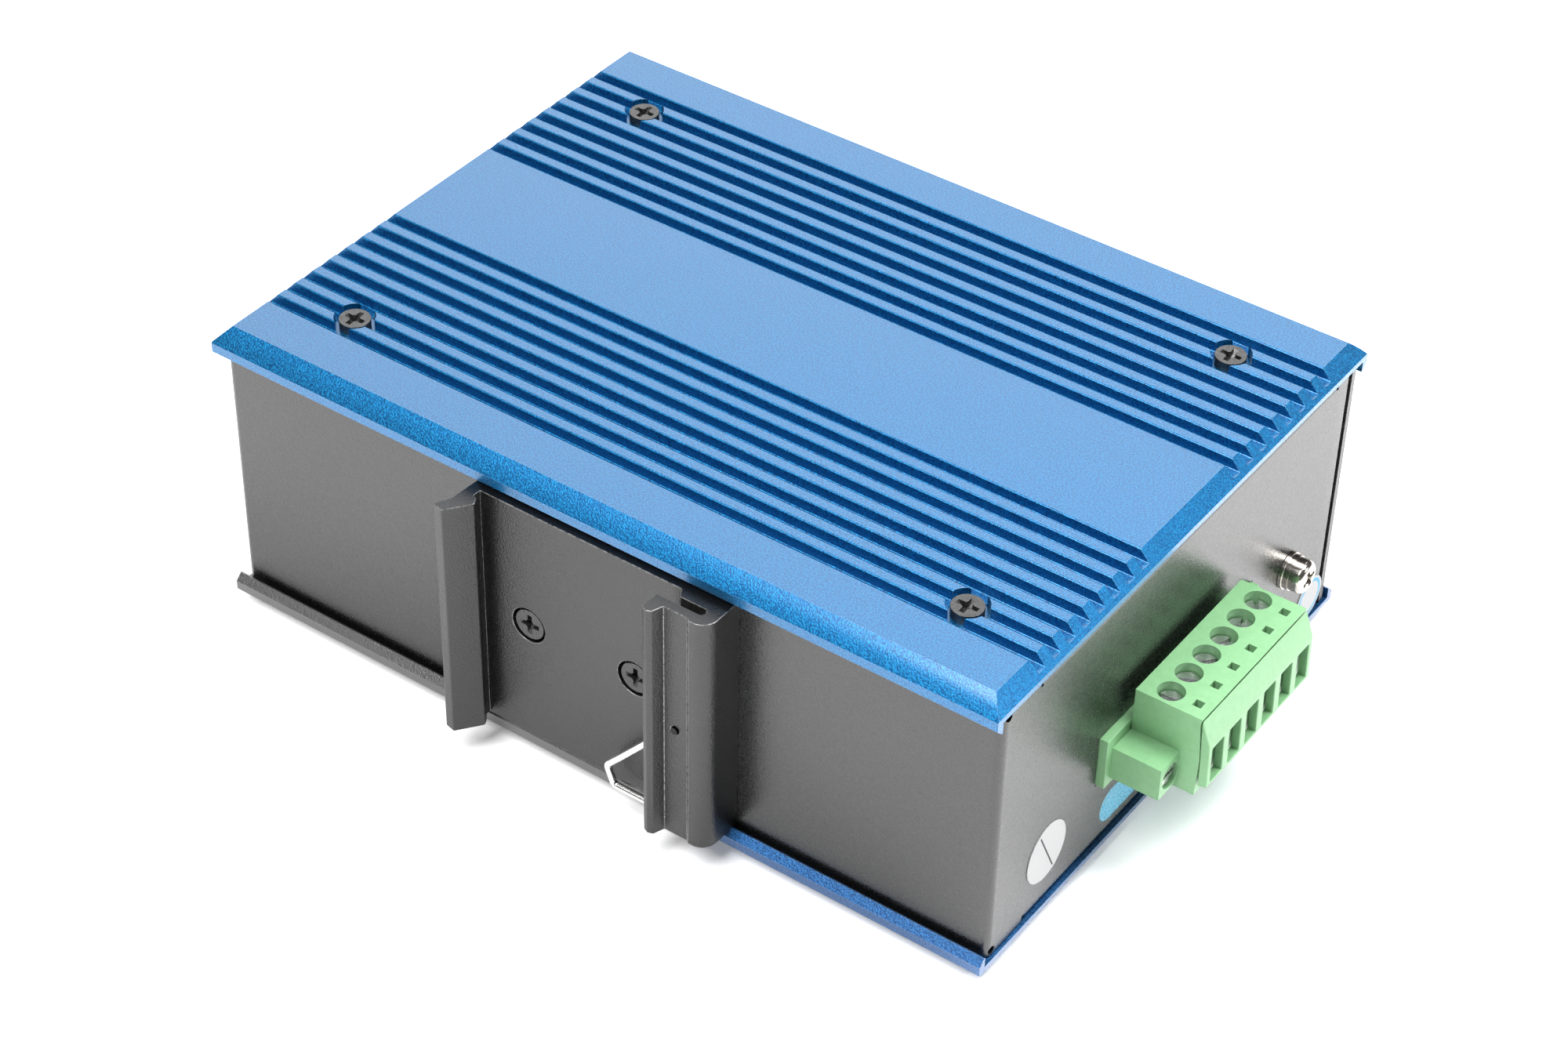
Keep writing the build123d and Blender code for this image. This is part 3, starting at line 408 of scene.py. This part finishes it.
# The socket block is a black moulding in a folded tinned shield, with gold-plated contact wires. It
# is soldered to the board's front edge and looks out of the port panel's window.
black_moulding = finish(
    "black_moulding", dark=(0.012, 0.012, 0.012), light=(0.022, 0.022, 0.022), roughness=0.42,
    grains=1500.0, bump=0.00001,
)
tinned = finish(
    "tinned_sheet", dark=(0.52, 0.52, 0.51), light=(0.64, 0.64, 0.62), roughness=0.32,
    grains=700.0, bump=0.000008, metallic=1.0,
)
gold = finish(
    "gold_contacts", dark=(0.80, 0.55, 0.20), light=(0.90, 0.66, 0.28), roughness=0.2,
    grains=2000.0, bump=0.000004, metallic=1.0,
)
carried("socket_housing", black_moulding)
carried("socket_shield", tinned)
carried("socket_contacts", gold)


# The header's pins and the plug's fork contacts are stamped and tinned, and the header's inserts for
# the flange screws are turned brass. All are pressed into the green mouldings.
brass = finish(
    "turned_brass", dark=(0.60, 0.44, 0.18), light=(0.74, 0.56, 0.26), roughness=0.26,
    grains=1200.0, bump=0.000008, metallic=1.0,
)
carried("header_pins", tinned)
carried("terminal_contacts", tinned)
carried("header_inserts", brass)


# Rods of clear polycarbonate carry the status lights to round holes in the port panel. The lights
# themselves are small black mouldings on the board.
clear_rod = finish(
    "clear_polycarbonate", dark=(0.80, 0.84, 0.84), light=(0.88, 0.91, 0.91), roughness=0.12,
    grains=600.0, bump=0.000003,
)
clear_rod.node_tree.nodes["Principled BSDF"].inputs["Transmission Weight"].default_value = 0.6
carried("light_pipes", clear_rod)
carried("status_lights", black_moulding)


# The board is glass-fibre laminate under green solder mask, screwed on four standoffs. A thin black
# film lies under it on the bottom cover, and keeps its solder joints from touching the metal.
laminate = finish(
    "board_laminate", dark=(0.012, 0.12, 0.045), light=(0.02, 0.17, 0.07), roughness=0.3,
    grains=1400.0, bump=0.00001,
)
film = finish(
    "insulating_film", dark=(0.03, 0.03, 0.033), light=(0.05, 0.05, 0.055), roughness=0.5,
    grains=500.0, bump=0.00001,
)
carried("main_board", laminate)
carried("insulating_sheet", film)


# The parts soldered on the board are bought sealed: moulded chips and magnetics, metal cans, ferrite
# cores with copper windings, and fired ceramic bodies. The large chip carries a pad and a heat sink.
ferrite = finish(
    "ferrite", dark=(0.03, 0.03, 0.032), light=(0.06, 0.06, 0.063), roughness=0.7,
    grains=1200.0, bump=0.00004,
)
copper = finish(
    "enamelled_copper", dark=(0.45, 0.18, 0.07), light=(0.62, 0.28, 0.12), roughness=0.3,
    grains=900.0, bump=0.00003, metallic=0.8,
)
ceramic = finish(
    "fired_ceramic", dark=(0.42, 0.27, 0.13), light=(0.56, 0.38, 0.2), roughness=0.5,
    grains=900.0, bump=0.00002,
)
silicone = finish(
    "silicone_pad", dark=(0.30, 0.33, 0.35), light=(0.38, 0.41, 0.43), roughness=0.8,
    grains=700.0, bump=0.00003,
)
sealed_parts = {
    black_moulding: (
        "switch_chip", "network_transformers", "power_controllers", "memory_chip", "input_rectifiers",
    ),
    tinned: ("crystal", "bulk_capacitors"),
    ferrite: ("power_inductors", "transformer_core"),
    copper: ("transformer_coil",),
    ceramic: ("input_fuse", "surge_arresters", "chip_parts"),
    silicone: ("thermal_pad",),
    black_anodising: ("chip_heatsink",),
}
for material, names in sealed_parts.items():
    for name in names:
        carried(name, material)


# The studio is a white table that glows faintly, under a white surround. The covers mirror a large
# panel behind the switch, one hangs high on the camera's side, and two small ones light the end
# wall and its bevel.
table_half = 3.0
table_corners = [
    (-table_half, -table_half, 0), (table_half, -table_half, 0),
    (table_half, table_half, 0), (-table_half, table_half, 0),
]
table_mesh = bpy.data.meshes.new("table")
table_mesh.from_pydata(table_corners, [], [(0, 1, 2, 3)])
table = bpy.data.objects.new("table", table_mesh)
bpy.context.scene.collection.objects.link(table)
table_white = bpy.data.materials.new("table_white")
table_white.use_nodes = True
table_shader = table_white.node_tree.nodes["Principled BSDF"]
table_shader.inputs["Base Color"].default_value = (0.93, 0.93, 0.93, 1.0)
table_shader.inputs["Roughness"].default_value = 0.9
table_shader.inputs["Specular IOR Level"].default_value = 0.1
table_shader.inputs["Emission Color"].default_value = (1.0, 1.0, 1.0, 1.0)
table_shader.inputs["Emission Strength"].default_value = 0.2
table_mesh.materials.append(table_white)


def panel(name, place, aim, width, height, power):
    """Soft rectangular light at a place, turned towards a point."""
    lamp = bpy.data.lights.new(name, "AREA")
    lamp.shape = "RECTANGLE"
    lamp.size = width
    lamp.size_y = height
    lamp.energy = power
    holder = bpy.data.objects.new(name, lamp)
    holder.location = place
    holder.rotation_euler = (Vector(aim) - Vector(place)).to_track_quat("-Z", "Y").to_euler()
    bpy.context.scene.collection.objects.link(holder)


centre = (0.0, 0.0, 0.027)
panel("back_panel", place=(-0.75, 1.05, 1.1), aim=centre, width=1.5, height=1.0, power=13.0)
panel("over_panel", place=(-0.14, -0.92, 1.42), aim=centre, width=0.8, height=0.8, power=34.0)
panel("right_panel", place=(0.24, 0.14, 0.6), aim=(0.1, 0.02, 0.0), width=0.3, height=0.3, power=5.6)
panel("side_panel", place=(0.87, 0.33, 0.38), aim=centre, width=0.2, height=0.2, power=4.0)

surround = bpy.data.worlds.new("white_surround")
surround.use_nodes = True
surround.node_tree.nodes["Background"].inputs["Color"].default_value = (1.0, 1.0, 1.0, 1.0)
surround.node_tree.nodes["Background"].inputs["Strength"].default_value = 0.12
bpy.context.scene.world = surround
bpy.context.scene.view_settings.view_transform = "Standard"


# The camera stands where the photo's did: in front of the rear wall, to its right and above. Its
# focal length is given in the photo's pixels, and its place and turn by three angles, a distance and
# two small shifts.
photo_width = 2000.0
sensor_width = 36.0
focal_pixels = 4462.0
azimuth = math.radians(34.78)
elevation = math.radians(39.41)
roll = math.radians(1.33)
distance = 0.5549
sideways = -0.0005
upwards = -0.0073
look = Vector((-math.sin(azimuth) * math.cos(elevation), math.cos(azimuth) * math.cos(elevation),
               -math.sin(elevation)))
right = Vector((math.cos(azimuth), math.sin(azimuth), 0.0))
up = right.cross(look)
camera_data = bpy.data.cameras.new("camera")
camera_data.sensor_width = sensor_width
camera_data.lens = focal_pixels * sensor_width / photo_width
camera_data.clip_start = 0.01
camera = bpy.data.objects.new("camera", camera_data)
turned_right = right * math.cos(roll) + up * math.sin(roll)
turned_up = up * math.cos(roll) - right * math.sin(roll)
turn = Matrix((turned_right, turned_up, -look)).transposed().to_4x4()
eye = Vector(centre) - look * distance + right * sideways + up * upwards
camera.matrix_world = Matrix.Translation(eye) @ turn
bpy.context.scene.collection.objects.link(camera)
bpy.context.scene.camera = camera
